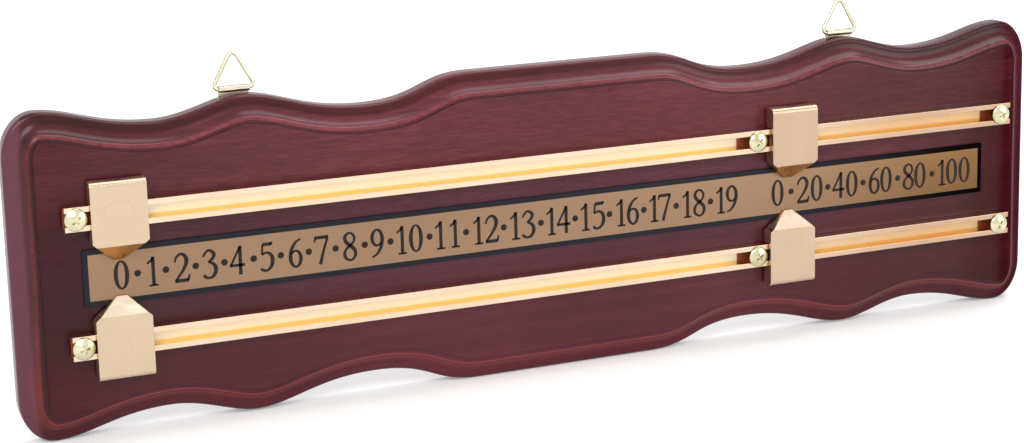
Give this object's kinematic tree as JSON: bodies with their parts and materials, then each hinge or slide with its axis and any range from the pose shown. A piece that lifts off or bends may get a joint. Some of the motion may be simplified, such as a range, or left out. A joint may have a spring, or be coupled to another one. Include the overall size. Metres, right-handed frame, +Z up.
{
  "type": "billiard scoreboard",
  "caption": "Wall-hung billiard scoreboard: wavy hardwood board with a routed edge, a long number plate, slotted metal rails, sliding pointers and ring hangers.",
  "frame": {"origin": "middle of the board's flat back, where it lies against the wall", "axes": "+X to the right as the board is read, +Y out of the back towards the wall, +Z up; the numbers face -Y"},
  "size_m": [0.5248, 0.0245, 0.1668],
  "materials": {
    "stained_hardwood": "red-brown stain under clear lacquer, semi-gloss",
    "gold_plate": "satin gold with a printed black border and numbers",
    "polished_gold": "polished gold",
    "brushed_gold": "brushed pale gold",
    "plain_brass": "turned",
    "pale_plated_steel": "pale yellowish plating",
    "pale_brass": "pale brass plating",
    "plated_steel": "bright zinc"
  },
  "bodies": {
    "board": {"backboard": "stained_hardwood", "scale_plate": "gold_plate", "rail_upper": "polished_gold", "rail_lower": "polished_gold", "screw_upper_left": "pale_plated_steel", "screw_upper_middle": "pale_plated_steel", "screw_upper_right": "pale_plated_steel", "screw_lower_left": "pale_plated_steel", "screw_lower_middle": "pale_plated_steel", "screw_lower_right": "pale_plated_steel", "hanger_strap_left": "pale_brass", "hanger_strap_right": "pale_brass", "hanger_screw_left_top": "plated_steel", "hanger_screw_left_bottom": "plated_steel", "hanger_screw_right_top": "plated_steel", "hanger_screw_right_bottom": "plated_steel"},
    "upper_units_slider": {"pointer_upper_units": "brushed_gold", "glide_upper_units": "plain_brass"},
    "upper_hundreds_slider": {"pointer_upper_hundreds": "brushed_gold", "glide_upper_hundreds": "plain_brass"},
    "lower_units_slider": {"pointer_lower_units": "brushed_gold", "glide_lower_units": "plain_brass"},
    "lower_hundreds_slider": {"pointer_lower_hundreds": "brushed_gold", "glide_lower_hundreds": "plain_brass"},
    "left_ring": {"hanger_ring_left": "pale_brass"},
    "right_ring": {"hanger_ring_right": "pale_brass"}
  },
  "joints": [
    {"name": "upper_units_slide", "type": "slide", "parent": "board", "child": "upper_units_slider", "axis": [1, 0, 0], "range_m": [-0.0009, 0.2964]},
    {"name": "upper_hundreds_slide", "type": "slide", "parent": "board", "child": "upper_hundreds_slider", "axis": [1, 0, 0], "range_m": [-0.002, 0.1035]},
    {"name": "lower_units_slide", "type": "slide", "parent": "board", "child": "lower_units_slider", "axis": [1, 0, 0], "range_m": [-0.0002, 0.2971]},
    {"name": "lower_hundreds_slide", "type": "slide", "parent": "board", "child": "lower_hundreds_slider", "axis": [1, 0, 0], "range_m": [-0.0006, 0.1049]},
    {"name": "left_ring_tilt", "type": "hinge", "parent": "board", "child": "left_ring", "pos_m": [-0.15726, -0.00285, 0.0758], "axis": [1, 0, 0], "range_deg": [-105, 95]},
    {"name": "right_ring_tilt", "type": "hinge", "parent": "board", "child": "right_ring", "pos_m": [0.15497, -0.00285, 0.0755], "axis": [1, 0, 0], "range_deg": [-105, 95]}
  ]
}
